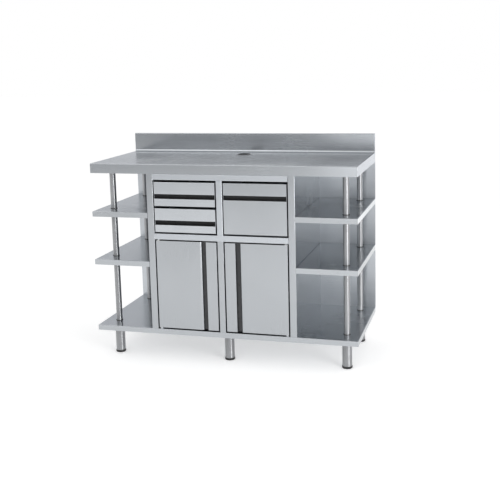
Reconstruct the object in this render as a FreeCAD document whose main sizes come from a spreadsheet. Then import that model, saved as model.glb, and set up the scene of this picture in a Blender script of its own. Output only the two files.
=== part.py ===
"""Stainless steel service station for waiters, with its hopper drawer for coffee grounds.

Row frame: +Z up, front at -Y, origin on the floor under the middle of the station.
Every driving dimension is a cell of the Sizes sheet, in millimetres, and every
sub-part is bound to those cells.
"""
import FreeCAD, Part
import math
import os

import Sketcher

os.makedirs("parts", exist_ok=True)
doc = FreeCAD.newDocument("ServiceStation")
sheet = doc.addObject("Spreadsheet::Sheet", "Sizes")


# ----------------------------------------------------------------------------
# Sizes: numbers that carry the sheet expression they come from
# ----------------------------------------------------------------------------

class Size:
    """A length in millimetres together with its sheet expression."""

    def __init__(self, value, text):
        self.value = value
        self.text = text

    def __add__(self, other):
        other = as_size(other)
        return Size(self.value + other.value, f"({self.text} + {other.text})")

    def __sub__(self, other):
        other = as_size(other)
        return Size(self.value - other.value, f"({self.text} - {other.text})")

    def __mul__(self, factor):
        factor = as_size(factor)
        return Size(self.value * factor.value, f"({self.text} * {factor.text})")

    def __truediv__(self, divisor):
        divisor = as_size(divisor)
        return Size(self.value / divisor.value, f"({self.text} / {divisor.text})")

    def __neg__(self):
        return Size(-self.value, f"(0 - {self.text})")

    def __radd__(self, other):
        return as_size(other) + self

    def __rsub__(self, other):
        return as_size(other) - self

    def __rmul__(self, factor):
        return as_size(factor) * self


def as_size(number):
    return number if isinstance(number, Size) else Size(float(number), repr(float(number)))


SHEET_ROWS = []


def size(alias, value):
    """Write one driving dimension into the sheet and return it."""
    row = len(SHEET_ROWS) + 1
    sheet.set(f"A{row}", alias)
    sheet.set(f"B{row}", str(value))
    sheet.setAlias(f"B{row}", alias)
    SHEET_ROWS.append(alias)
    return Size(float(value), f"Sizes.{alias}")


# Whole station
overall_width = size("overall_width", 1400)
overall_depth = size("overall_depth", 600)
worktop_height = size("worktop_height", 1045)
base_height = size("base_height", 178)
lower_shelf_height = size("lower_shelf_height", 536)
upper_shelf_height = size("upper_shelf_height", 793)
# Sheet metal
steel = size("sheet_thickness", 1.2)
bend = size("bend_radius", 3)
weld_radius = size("weld_radius", 1)
return_lip = size("return_lip", 15)
# Worktop
worktop_fold = size("worktop_fold", 50)
splash_height = size("splash_height", 105)
splash_thickness = size("splash_thickness", 14)
cove_radius = size("cove_radius", 12)
cable_hole_bore = size("cable_hole_bore", 64)
cable_hole_setback = size("cable_hole_setback", 145)
grommet_wall = size("grommet_wall", 3)
grommet_flange = size("grommet_flange", 84)
grommet_rise = size("grommet_rise", 4)
grommet_depth = size("grommet_depth", 16)
grommet_clearance = size("grommet_clearance", 0.3)
# Shelves
shelf_fold = size("shelf_fold", 28)
hem_width = size("hem_width", 12)
# Stiffening channels
channel_flange = size("channel_flange", 20)
worktop_channel_web = size("worktop_channel_web", 60)
base_channel_web = size("base_channel_web", 104)
channel_end_gap = size("channel_end_gap", 1)
# Posts, tie rods and legs
post_diameter = size("post_diameter", 32)
post_wall = size("post_wall", 1.5)
post_end_inset = size("post_end_inset", 75)
post_front_inset = size("post_front_inset", 105)
post_rear_inset = size("post_rear_inset", 70)
rod_diameter = size("rod_diameter", 10)
rod_clearance = size("rod_clearance", 0.5)
rod_overhang = size("rod_overhang", 12)
nut_width = size("nut_width", 17)
nut_height = size("nut_height", 8)
leg_diameter = size("leg_diameter", 50)
leg_wall = size("leg_wall", 1.5)
leg_plate_width = size("leg_plate_width", 90)
leg_plate_thickness = size("leg_plate_thickness", 3)
leg_plate_bore = size("leg_plate_bore", 30)
leg_nut_height = size("leg_nut_height", 14)
leg_nut_rise = size("leg_nut_rise", 6)
foot_diameter = size("foot_diameter", 54)
foot_height = size("foot_height", 12)
foot_chamfer = size("foot_chamfer", 3)
foot_gap = size("foot_gap", 0.3)
foot_stud_diameter = size("foot_stud_diameter", 12)
foot_stud_length = size("foot_stud_length", 50)
stud_clearance = size("stud_clearance", 0.06)
# Cabinet
cabinet_width = size("cabinet_width", 780)
stile_width = size("stile_width", 35)
stile_return = size("stile_return", 20)
centre_stile_width = size("centre_stile_width", 32)
centre_stile_depth = size("centre_stile_depth", 30)
top_rail_height = size("top_rail_height", 30)
top_rail_depth = size("top_rail_depth", 20)
deck_height = size("deck_height", 686)
deck_fold = size("deck_fold", 30)
seat_gap = size("seat_gap", 1)
inner_shelf_height = size("inner_shelf_height", 415)
inner_shelf_fold = size("inner_shelf_fold", 25)
inner_shelf_setback = size("inner_shelf_setback", 40)
inner_shelf_gap = size("inner_shelf_gap", 2)
shelf_rail_width = size("shelf_rail_width", 20)
# Fronts
side_gap = size("side_gap", 6)
top_gap = size("top_gap", 11)
middle_gap = size("middle_gap", 12)
bottom_gap = size("bottom_gap", 8)
front_bend = size("front_bend", 2.5)
grip_panel_share = size("grip_panel_share", 0.5)
grip_slot = size("grip_slot", 24)
grip_depth = size("grip_depth", 28)
grip_undercut = size("grip_undercut", 12)
grip_lip = size("grip_lip", 4)
front_thickness = size("front_thickness", 34)
# Drawers
drawer_length = size("drawer_length", 450)
drawer_box_drop = size("drawer_box_drop", 20)
drawer_box_rise = size("drawer_box_rise", 14)
hopper_box_drop = size("hopper_box_drop", 41)
bin_clearance = size("bin_clearance", 6)
bin_drop = size("bin_drop", 55)
bin_rim = size("bin_rim", 4)
bin_floor_gap = size("bin_floor_gap", 0.3)
bin_taper = size("bin_taper", 2)
knock_bar_diameter = size("knock_bar_diameter", 20)
knock_bar_drop = size("knock_bar_drop", 26)
knock_bar_setback = size("knock_bar_setback", 150)
sleeve_diameter = size("sleeve_diameter", 34)
sleeve_length = size("sleeve_length", 220)
# Telescopic runners
runner_thickness = size("runner_thickness", 12.7)
runner_height = size("runner_height", 45)
runner_steel = size("runner_steel", 1.2)
runner_race = size("runner_race", 1.4)
runner_rise = size("runner_rise", 60)
# Doors
door_top_gap = size("door_top_gap", 7)
door_bottom_gap = size("door_bottom_gap", 8)
door_thickness = size("door_thickness", 20)
door_strip = size("door_strip", 56)
door_slot = size("door_slot", 12)
door_grip_depth = size("door_grip_depth", 15)
door_grip_undercut = size("door_grip_undercut", 12)
door_round = size("door_round", 11)
door_liner_fold = size("door_liner_fold", 3.5)
door_liner_gap = size("door_liner_gap", 0.2)
pivot_inset = size("pivot_inset", 10)
pivot_diameter = size("pivot_diameter", 8)
pivot_clearance = size("pivot_clearance", 0.05)
pivot_hole_clearance = size("pivot_hole_clearance", 0.3)
pivot_flange = size("pivot_flange", 15)
pivot_flange_height = size("pivot_flange_height", 2)
pivot_engagement = size("pivot_engagement", 13)
bush_diameter = size("bush_diameter", 12)
bush_length = size("bush_length", 15)
bush_flange = size("bush_flange", 16)
bush_flange_height = size("bush_flange_height", 1.5)
bush_float = size("bush_float", 0.3)
magnet_width = size("magnet_width", 26)
magnet_depth = size("magnet_depth", 12)
magnet_height = size("magnet_height", 46)
magnet_drop = size("magnet_drop", 60)
magnet_gap = size("magnet_gap", 0.5)

# Lines and planes that several pieces share
half_width = overall_width / 2
front = -overall_depth / 2
back = overall_depth / 2
panel_front = back - 2 * steel
lining_back = panel_front - steel - bend
worktop_underside = worktop_height - worktop_fold
base_underside = base_height - shelf_fold
post_x = half_width - post_end_inset
post_front_y = front + post_front_inset
post_rear_y = back - post_rear_inset
rod_hole = rod_diameter + 2 * rod_clearance
half_cabinet = cabinet_width / 2
bay_width = half_width - half_cabinet
stile_edge = half_cabinet - stile_width
centre_edge = centre_stile_width / 2
inner_wall = half_cabinet - steel
deck_underside = deck_height - deck_fold
rail_underside = worktop_underside - top_rail_height
column_width = stile_edge - centre_edge
column_centre = (stile_edge + centre_edge) / 2
front_width = column_width - 2 * side_gap
hopper_front_height = rail_underside - deck_height - top_gap - bottom_gap
drawer_front_height = (hopper_front_height - middle_gap) / 2
lower_front_z = deck_height + bottom_gap
upper_front_z = lower_front_z + drawer_front_height + middle_gap
grip_panel = drawer_front_height * grip_panel_share
drawer_box_height = drawer_front_height - drawer_box_rise - drawer_box_drop
hopper_box_height = hopper_front_height - drawer_box_rise - hopper_box_drop
bin_height = hopper_box_height - bin_drop
drawer_start = front + front_thickness
box_half_width = column_width / 2 - runner_thickness
lining_front = front + stile_return + seat_gap
door_z = base_height + door_bottom_gap
door_height = deck_underside - door_top_gap - door_z
pivot_x = stile_edge - side_gap - pivot_inset
pivot_y = front + door_thickness / 2


# ----------------------------------------------------------------------------
# Tools for bodies, sketches and sheet-metal work
# ----------------------------------------------------------------------------

AXES = {"X": FreeCAD.Vector(1, 0, 0), "Y": FreeCAD.Vector(0, 1, 0), "Z": FreeCAD.Vector(0, 0, 1)}
PLANE_AXES = {"XY_Plane": ("X", "Y", "Z"), "XZ_Plane": ("X", "Z", "Y"), "YZ_Plane": ("Y", "Z", "X")}
TOUCH = 1e-4
NODES = []


def bind(item, path, amount):
    """Tie one property of a document object to the sheet."""
    item.setExpression(path, as_size(amount).text)


def new_body(label, x=0, y=0, z=0):
    """Start a sub-part and bind its place."""
    body = doc.addObject("PartDesign::Body", label)
    body.Label = label
    body.AllowCompound = True
    for axis, amount in zip("xyz", (x, y, z)):
        bind(body, f"Placement.Base.{axis}", amount)
    NODES.append(body)
    return body


def new_sketch(body, plane, offset=0):
    """Attach an empty sketch to one of the body's own origin planes.

    The offset runs along +Z, +Y or +X, whichever crosses the plane.
    """
    sketch = body.newObject("Sketcher::SketchObject", "Sketch")
    support = next(item for item in body.Origin.OriginFeatures if item.Role == plane)
    sketch.AttachmentSupport = (support, [""])
    sketch.MapMode = "FlatFace"
    along_normal = -as_size(offset) if plane == "XZ_Plane" else offset
    bind(sketch, "AttachmentOffset.Base.z", along_normal)
    return sketch


def fix_point(sketch, geometry, vertex, point):
    """Bind one vertex of the sketch to a pair of coordinates."""
    for kind, amount in zip(("DistanceX", "DistanceY"), point):
        amount = as_size(amount)
        index = sketch.addConstraint(Sketcher.Constraint(kind, -1, 1, geometry, vertex, amount.value))
        bind(sketch, f"Constraints[{index}]", amount)


def draw_outline(sketch, corners):
    """Draw a closed outline through the given corners."""
    places = [FreeCAD.Vector(as_size(u).value, as_size(v).value, 0) for u, v in corners]
    count = len(corners)
    first = sketch.GeometryCount
    for i in range(count):
        sketch.addGeometry(Part.LineSegment(places[i], places[(i + 1) % count]))
    for i in range(count):
        following = first + (i + 1) % count
        sketch.addConstraint(Sketcher.Constraint("Coincident", first + i, 2, following, 1))
    for i, corner in enumerate(corners):
        fix_point(sketch, first + i, 1, corner)


def draw_rectangle(sketch, low_u, low_v, high_u, high_v):
    draw_outline(sketch, [(low_u, low_v), (high_u, low_v), (high_u, high_v), (low_u, high_v)])


def draw_circle(sketch, centre, diameter):
    diameter = as_size(diameter)
    middle = FreeCAD.Vector(as_size(centre[0]).value, as_size(centre[1]).value, 0)
    normal = FreeCAD.Vector(0, 0, 1)
    index = sketch.addGeometry(Part.Circle(middle, normal, diameter.value / 2))
    fix_point(sketch, index, 3, centre)
    constraint = Sketcher.Constraint("Diameter", index, diameter.value)
    bind(sketch, f"Constraints[{sketch.addConstraint(constraint)}]", diameter)


def draw_hexagon(sketch, centre, width):
    """Draw a hexagon of the given width across its flats."""
    reach = width / math.sqrt(3)
    corners = []
    for i in range(6):
        turn = math.radians(60 * i)
        corners.append((centre[0] + reach * math.cos(turn), centre[1] + reach * math.sin(turn)))
    draw_outline(sketch, corners)


def pad(body, sketch, length):
    """Pad a sketch along +Z, +Y or +X, whichever crosses its plane."""
    feature = body.newObject("PartDesign::Pad", "Pad")
    feature.Profile = sketch
    bind(feature, "Length", length)
    feature.Reversed = sketch.AttachmentSupport[0][0].Role == "XZ_Plane"
    doc.recompute()
    return feature


def pocket(body, sketch, depth, volume_before):
    """Cut a sketch along +Z, +Y or +X; the cut has to remove material."""
    feature = body.newObject("PartDesign::Pocket", "Pocket")
    feature.Profile = sketch
    bind(feature, "Length", depth)
    feature.Reversed = sketch.AttachmentSupport[0][0].Role != "XZ_Plane"
    doc.recompute()
    if feature.Shape.Volume >= volume_before:
        raise RuntimeError(f"{body.Label}: a pocket cuts nothing")
    return feature


def drill(body, plane, offset, depth, centres, diameter):
    """Cut round holes of one diameter through a wall."""
    sketch = new_sketch(body, plane, offset)
    for centre in centres:
        draw_circle(sketch, centre, diameter)
    return pocket(body, sketch, depth, body.Shape.Volume)


def revolve(body, profile):
    """Turn a closed profile of (radius, height) corners about the body's Z axis."""
    sketch = new_sketch(body, "XZ_Plane")
    draw_outline(sketch, profile)
    feature = body.newObject("PartDesign::Revolution", "Revolution")
    feature.Profile = sketch
    feature.ReferenceAxis = (sketch, ["V_Axis"])
    feature.Angle = 360
    doc.recompute()
    return feature


def straight_edges(feature, axis, places):
    """Names of the edges parallel to an axis that pass through the given places."""
    others = [name for name in "XYZ" if name != axis]
    names = []
    for number, edge in enumerate(feature.Shape.Edges, start=1):
        if not isinstance(edge.Curve, Part.Line):
            continue
        if abs(edge.Curve.Direction.dot(AXES[axis])) < 1 - TOUCH:
            continue
        point = edge.Vertexes[0].Point
        found = [point.dot(AXES[name]) for name in others]
        for place in places:
            gap = max(abs(found[i] - as_size(place[i]).value) for i in range(2))
            if gap < TOUCH:
                names.append(f"Edge{number}")
    return names


def level_edges(feature, axis, level):
    """Names of the edges that lie wholly in the plane across an axis at a level."""
    names = []
    for number, edge in enumerate(feature.Shape.Edges, start=1):
        box = edge.BoundBox
        low, high = (getattr(box, axis + "Min"), getattr(box, axis + "Max"))
        if max(abs(low - as_size(level).value), abs(high - as_size(level).value)) < TOUCH:
            names.append(f"Edge{number}")
    return names


def level_faces(feature, axis, level):
    """Names of the flat faces that lie in the plane across an axis at a level."""
    names = []
    for number, face in enumerate(feature.Shape.Faces, start=1):
        box = face.BoundBox
        low, high = (getattr(box, axis + "Min"), getattr(box, axis + "Max"))
        if max(abs(low - as_size(level).value), abs(high - as_size(level).value)) < TOUCH:
            names.append(f"Face{number}")
    return names


def round_off(body, feature, edge_names, radius):
    """Fillet the named edges."""
    fillet = body.newObject("PartDesign::Fillet", "Fillet")
    fillet.Base = (feature, sorted(set(edge_names)))
    bind(fillet, "Radius", radius)
    doc.recompute()
    return fillet


def hollow(body, feature, open_faces, wall):
    """Turn a block into folded sheet, open at the named faces."""
    shell = body.newObject("PartDesign::Thickness", "Thickness")
    shell.Base = (feature, open_faces)
    bind(shell, "Value", wall)
    shell.Mode = 0
    shell.Join = 1
    shell.Reversed = True
    doc.recompute()
    if shell.Shape.isNull() or shell.Shape.Volume >= feature.Shape.Volume:
        raise RuntimeError(f"{body.Label}: the walls grew outwards")
    return shell


def carve(body, feature, outline, low, high, floor, radius):
    """Cut a space with the given outline out of a block and round it along its floor."""
    sketch = new_sketch(body, "XY_Plane", low)
    draw_outline(sketch, outline)
    space = pocket(body, sketch, high - low, feature.Shape.Volume)
    edges = [name for name in level_edges(space, "Z", floor) if inside_outline(space, name, outline)]
    return round_off(body, space, edges, radius)


def inside_outline(feature, edge_name, outline):
    """Tell whether an edge lies on a vertical wall of the outline."""
    box = feature.Shape.getElement(edge_name).BoundBox
    for i, corner in enumerate(outline):
        start, end = (outline[i - 1], corner)
        low = [min(as_size(start[k]).value, as_size(end[k]).value) for k in range(2)]
        high = [max(as_size(start[k]).value, as_size(end[k]).value) for k in range(2)]
        found = (box.XMin - low[0], box.YMin - low[1], box.XMax - high[0], box.YMax - high[1])
        if max(abs(gap) for gap in found) < TOUCH:
            return True
    return False


def direction(start, end):
    """Unit step from one corner of an orthogonal path to the next."""
    step_u = as_size(end[0]).value - as_size(start[0]).value
    step_v = as_size(end[1]).value - as_size(start[1]).value
    if abs(step_u) > abs(step_v):
        return (int(math.copysign(1, step_u)), 0)
    return (0, int(math.copysign(1, step_v)))


def folded_strip(body, plane, offset, path, length, thickness=steel, radius=bend, side=1):
    """Fold a strip along an orthogonal path and give it a length across the plane.

    The path is one face of the sheet; the sheet lies to its left (side 1) or right (-1).
    """
    steps = [direction(path[i], path[i + 1]) for i in range(len(path) - 1)]
    inner = []
    for i, corner in enumerate(path):
        before = steps[max(i - 1, 0)]
        after = steps[min(i, len(steps) - 1)]
        shift_u = -(before[1] + after[1]) if before != after else -before[1]
        shift_v = (before[0] + after[0]) if before != after else before[0]
        inner.append((corner[0] + side * shift_u * thickness, corner[1] + side * shift_v * thickness))
    sketch = new_sketch(body, plane, offset)
    draw_outline(sketch, path + inner[::-1])
    feature = pad(body, sketch, length)
    axis = PLANE_AXES[plane][2]
    outside = []
    inside = []
    for i in range(1, len(path) - 1):
        turn = steps[i - 1][0] * steps[i][1] - steps[i - 1][1] * steps[i][0]
        outer_corner, inner_corner = (path[i], inner[i]) if turn == side else (inner[i], path[i])
        outside.append(outer_corner)
        inside.append(inner_corner)
    feature = round_off(body, feature, straight_edges(feature, axis, outside), radius)
    return round_off(body, feature, straight_edges(feature, axis, inside), radius - thickness)


def folded_tray(body, outline, depth, lip, radius=bend, wall=steel):
    """Fold a tray with its skin at the body's z = 0 and its folds hanging down by depth.

    The outline is an anticlockwise list of corners. A lip returns inwards along the rim.
    """
    sketch = new_sketch(body, "XY_Plane", -depth)
    draw_outline(sketch, outline)
    block = pad(body, sketch, depth)
    block = round_off(body, block, level_edges(block, "Z", 0), radius)
    carve(body, block, inset_outline(outline, wall), -depth, -wall, -wall, radius - wall)
    rim = new_sketch(body, "XY_Plane", -depth)
    draw_outline(rim, inset_outline(outline, wall))
    draw_outline(rim, inset_outline(outline, wall + lip))
    return pad(body, rim, wall)


def inset_outline(outline, amount):
    """Move every corner of an anticlockwise orthogonal outline inwards."""
    count = len(outline)
    moved = []
    for i, corner in enumerate(outline):
        before = direction(outline[i - 1], corner)
        after = direction(corner, outline[(i + 1) % count])
        shift_u = -(before[1] + after[1])
        shift_v = before[0] + after[0]
        moved.append((corner[0] + shift_u * amount, corner[1] + shift_v * amount))
    return moved


def rectangle(low_u, low_v, high_u, high_v):
    return [(low_u, low_v), (high_u, low_v), (high_u, high_v), (low_u, high_v)]


def mirror_across(body, features, plane):
    """Mirror features in one of the body's own planes and make that the tip."""
    mirrored = body.newObject("PartDesign::Mirrored", "Mirrored")
    mirrored.Originals = features
    mirrored.MirrorPlane = (next(i for i in body.Origin.OriginFeatures if i.Role == plane), [""])
    body.Tip = mirrored
    doc.recompute()
    return mirrored


# ----------------------------------------------------------------------------
# Worktop
# ----------------------------------------------------------------------------

def make_worktop():
    """One folded sheet: front fold, deck, cove, splashback and closed ends."""
    body = new_body("worktop")
    splash_top = worktop_height + splash_height
    splash_front = back - splash_thickness
    sketch = new_sketch(body, "YZ_Plane", -half_width)
    draw_outline(sketch, [
        (front, worktop_underside),
        (back, worktop_underside),
        (back, splash_top),
        (splash_front, splash_top),
        (splash_front, worktop_height),
        (front, worktop_height),
    ])
    block = pad(body, sketch, overall_width)
    cove = straight_edges(block, "X", [(splash_front, worktop_height)])
    block = round_off(body, block, cove, cove_radius)
    outside = [(front, worktop_height), (splash_front, splash_top), (back, splash_top)]
    block = round_off(body, block, straight_edges(block, "X", outside), bend)
    edges = []
    for end in (-half_width, half_width):
        edges += level_edges(block, "X", end)
    bottom = level_edges(block, "Z", worktop_underside)
    block = round_off(body, block, [name for name in edges if name not in bottom], weld_radius)
    inside = new_sketch(body, "YZ_Plane", steel - half_width)
    corners = [
        (front + steel, worktop_underside),
        (back - steel, worktop_underside),
        (back - steel, splash_top - steel),
        (splash_front + steel, splash_top - steel),
        (splash_front + steel, worktop_height - steel),
        (front + steel, worktop_height - steel),
    ]
    draw_outline(inside, corners)
    block = pocket(body, inside, overall_width - 2 * steel, block.Shape.Volume)
    cove = straight_edges(block, "X", [corners[4]])
    block = round_off(body, block, cove, cove_radius + steel)
    folds = straight_edges(block, "X", [corners[2], corners[3], corners[5]])
    round_off(body, block, folds, bend - steel)
    rim = new_sketch(body, "XY_Plane", worktop_underside)
    outline = rectangle(-half_width, front, half_width, back)
    draw_outline(rim, inset_outline(outline, steel))
    draw_outline(rim, inset_outline(outline, steel + return_lip))
    pad(body, rim, steel)
    hole = (0, back - cable_hole_setback)
    drill(body, "XY_Plane", worktop_height - 2 * steel, 3 * steel, [hole], cable_hole_bore)


def make_cable_grommet():
    """Round trim ring that lines the cable hole."""
    body = new_body("cable_grommet", 0, back - cable_hole_setback, worktop_height)
    sleeve = cable_hole_bore / 2 - grommet_clearance
    bore = sleeve - grommet_wall
    revolve(body, [
        (bore, -grommet_depth),
        (sleeve, -grommet_depth),
        (sleeve, 0),
        (grommet_flange / 2, 0),
        (grommet_flange / 2 - grommet_rise / 2, grommet_rise / 2),
        (bore + grommet_rise, grommet_rise),
        (bore, grommet_rise / 2),
    ])


def channel_path(web, height):
    """Top-hat section of a total height: flanges at the top, web at the bottom."""
    half_web = web / 2
    level = height - steel
    return [
        (-half_web - channel_flange, level),
        (-half_web, level),
        (-half_web, 0),
        (half_web, 0),
        (half_web, level),
        (half_web + channel_flange, level),
    ]


def make_channels(label, web, height, spots, underside):
    """Row of identical top-hat channels that run from front to back under a skin."""
    lip_inside = steel + return_lip + channel_end_gap
    body = new_body(label, 0, front + lip_inside, underside)
    length = overall_depth - 2 * lip_inside
    for spot in spots:
        path = [(spot + u, v) for u, v in channel_path(web, height)]
        folded_strip(body, "XZ_Plane", 0, path, length, side=1)
    holes = [(x, y - front - lip_inside) for x, y in post_places()]
    drill(body, "XY_Plane", -steel, 3 * steel, holes, rod_hole)


def post_places():
    return [(x, y) for x in (-post_x, post_x) for y in (post_front_y, post_rear_y)]


# ----------------------------------------------------------------------------
# Shelves, posts, rods, legs and feet
# ----------------------------------------------------------------------------

def make_base_shelf():
    """Full-width bottom shelf, which is also the cabinet's floor."""
    body = new_body("base_shelf", 0, 0, base_height)
    folded_tray(body, rectangle(-half_width, front, half_width, back), shelf_fold, return_lip)
    drill(body, "XY_Plane", -2 * steel, 3 * steel, post_places(), rod_hole)


def make_bay_shelf(label, side, height):
    """Open shelf between the cabinet's side and the free end."""
    left = -half_width if side < 0 else half_cabinet
    body = new_body(label, left, front, height)
    outline = rectangle(as_size(0), as_size(0), bay_width, panel_front - front)
    folded_tray(body, outline, shelf_fold, return_lip)
    post = post_end_inset if side < 0 else bay_width - post_end_inset
    holes = [(post, post_front_inset), (post, post_rear_y - front)]
    drill(body, "XY_Plane", -2 * steel, 3 * steel, holes, rod_hole)


def make_posts(label, x, y):
    """Three tube sections in one line, each from a shelf up to the skin above it."""
    body = new_body(label, x, y, 0)
    sections = [
        (base_height, lower_shelf_height - steel),
        (lower_shelf_height, upper_shelf_height - steel),
        (upper_shelf_height, worktop_underside),
    ]
    for low, high in sections:
        sketch = new_sketch(body, "XY_Plane", low)
        draw_circle(sketch, (0, 0), post_diameter)
        draw_circle(sketch, (0, 0), post_diameter - 2 * post_wall)
        pad(body, sketch, high - low)


def make_tie_rods():
    """Rods through the posts that clamp shelves, base and worktop, with a nut at each end."""
    body = new_body("tie_rods")
    low = base_underside - rod_overhang
    high = worktop_underside + steel + rod_overhang
    sketch = new_sketch(body, "XY_Plane", low)
    for place in post_places():
        draw_circle(sketch, place, rod_diameter)
    pad(body, sketch, high - low)
    for level in (base_underside - nut_height, worktop_underside + steel):
        nuts = new_sketch(body, "XY_Plane", level)
        for place in post_places():
            draw_hexagon(nuts, place, nut_width)
        pad(body, nuts, nut_height)


def make_legs(label, y):
    """Row of three legs: screwed plate, tube and the welded nut of the levelling foot."""
    body = new_body(label, -post_x, y, 0)
    plate_level = base_underside - leg_plate_thickness
    plate = new_sketch(body, "XY_Plane", plate_level)
    half_plate = leg_plate_width / 2
    draw_rectangle(plate, -half_plate, -half_plate, half_plate, half_plate)
    draw_circle(plate, (0, 0), leg_plate_bore)
    plate_pad = pad(body, plate, leg_plate_thickness)
    tube_level = foot_height + foot_gap
    outer = leg_diameter / 2
    inner = outer - leg_wall
    stud = foot_stud_diameter / 2 + stud_clearance
    nut_low = tube_level + leg_nut_rise
    nut_high = nut_low + leg_nut_height
    tube = revolve(body, [
        (stud, nut_low),
        (inner, nut_low),
        (inner, tube_level),
        (outer, tube_level),
        (outer, plate_level),
        (inner, plate_level),
        (inner, nut_high),
        (stud, nut_high),
    ])
    row = body.newObject("PartDesign::LinearPattern", "Row")
    row.Originals = [plate_pad, tube]
    row.Direction = (next(i for i in body.Origin.OriginFeatures if i.Role == "X_Axis"), [""])
    bind(row, "Length", 2 * post_x)
    row.Occurrences = 3
    body.Tip = row
    doc.recompute()


def make_foot(label, x, y):
    """Levelling foot: plastic pad with a bevelled edge and its threaded stud."""
    body = new_body(label, x, y, 0)
    outer = foot_diameter / 2
    stud = foot_stud_diameter / 2
    revolve(body, [
        (as_size(0), as_size(0)),
        (outer - foot_chamfer, as_size(0)),
        (outer, foot_chamfer),
        (outer, foot_height),
        (stud, foot_height),
        (stud, foot_height + foot_stud_length),
        (as_size(0), foot_height + foot_stud_length),
    ])


# ----------------------------------------------------------------------------
# Cabinet
# ----------------------------------------------------------------------------

def make_back_panel():
    """Full-width rear sheet with a safe edge folded flat behind each end."""
    body = new_body("back_panel", 0, panel_front, base_height)
    height = worktop_underside - base_height
    skin = new_sketch(body, "XY_Plane")
    draw_rectangle(skin, -half_width, as_size(0), half_width, steel)
    pad(body, skin, height)
    hems = new_sketch(body, "XY_Plane")
    for side in (-1, 1):
        edge = side * half_width
        inner = side * (half_width - hem_width)
        low, high = (edge, inner) if side < 0 else (inner, edge)
        draw_rectangle(hems, low, steel, high, 2 * steel)
    pad(body, hems, height)


def make_side_panel(label, side):
    """Side wall with its front stile, the stile's return and a rear flange."""
    body = new_body(label, 0, 0, base_height)
    outer = side * half_cabinet
    edge = side * stile_edge
    path = [
        (edge, front + stile_return),
        (edge, front),
        (outer, front),
        (outer, panel_front),
        (side * (half_cabinet - return_lip), panel_front),
    ]
    folded_strip(body, "XY_Plane", 0, path, worktop_underside - base_height, side=side)


def make_lining_panel(label, side):
    """Inner wall beside the drawers, flush with the stile, that carries the runners."""
    body = new_body(label, 0, 0, deck_height)
    path = [
        (side * inner_wall, lining_front),
        (side * stile_edge, lining_front),
        (side * stile_edge, lining_back),
        (side * inner_wall, lining_back),
    ]
    folded_strip(body, "XY_Plane", 0, path, worktop_underside - deck_height, side=-side)


def make_drawer_divider():
    """Double-walled divider between the drawer columns; its front web is the centre stile."""
    body = new_body("drawer_divider", 0, 0, deck_height)
    path = [
        (-centre_edge, lining_back),
        (-centre_edge, front),
        (centre_edge, front),
        (centre_edge, lining_back),
    ]
    folded_strip(body, "XY_Plane", 0, path, rail_underside - deck_height, side=1)


def make_centre_stile():
    """Stile between the doors."""
    body = new_body("centre_stile", 0, 0, base_height)
    path = [
        (-centre_edge, front + centre_stile_depth),
        (-centre_edge, front),
        (centre_edge, front),
        (centre_edge, front + centre_stile_depth),
    ]
    folded_strip(body, "XY_Plane", 0, path, deck_underside - base_height, side=1)


def make_top_rail():
    """Rail between the stiles, under the worktop."""
    body = new_body("top_rail")
    path = [
        (front + top_rail_depth, worktop_underside),
        (front, worktop_underside),
        (front, rail_underside),
        (front + top_rail_depth, rail_underside),
    ]
    folded_strip(body, "YZ_Plane", -stile_edge, path, 2 * stile_edge, side=1)


def make_drawer_deck():
    """Deck between drawers and cupboard; its front fold is the middle rail."""
    body = new_body("drawer_deck", 0, 0, deck_height)
    outline = [
        (-stile_edge, front),
        (stile_edge, front),
        (stile_edge, lining_front),
        (inner_wall, lining_front),
        (inner_wall, lining_back),
        (-inner_wall, lining_back),
        (-inner_wall, lining_front),
        (-stile_edge, lining_front),
    ]
    folded_tray(body, outline, deck_fold, return_lip)
    hole = pivot_diameter + 2 * pivot_hole_clearance
    places = [(side * pivot_x, pivot_y) for side in (-1, 1)]
    drill(body, "XY_Plane", -deck_fold - steel, 3 * steel, places, hole)


def make_inner_shelf():
    """Shelf inside the cupboard."""
    body = new_body("inner_shelf", 0, 0, inner_shelf_height)
    reach = inner_wall - inner_shelf_gap
    outline = rectangle(-reach, front + inner_shelf_setback, reach, panel_front - inner_shelf_gap)
    folded_tray(body, outline, inner_shelf_fold, return_lip)


def make_shelf_rails():
    """Angle rails on the cabinet's sides that carry the inner shelf."""
    body = new_body("shelf_rails", 0, front + inner_shelf_setback, inner_shelf_height)
    level = -inner_shelf_fold
    length = panel_front - inner_shelf_gap - return_lip - front - inner_shelf_setback
    for side in (-1, 1):
        path = [
            (side * (inner_wall - shelf_rail_width), level),
            (side * inner_wall, level),
            (side * inner_wall, level - shelf_rail_width),
        ]
        folded_strip(body, "XZ_Plane", 0, path, length, side=-side)


# ----------------------------------------------------------------------------
# Fronts with finger grips
# ----------------------------------------------------------------------------

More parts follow.
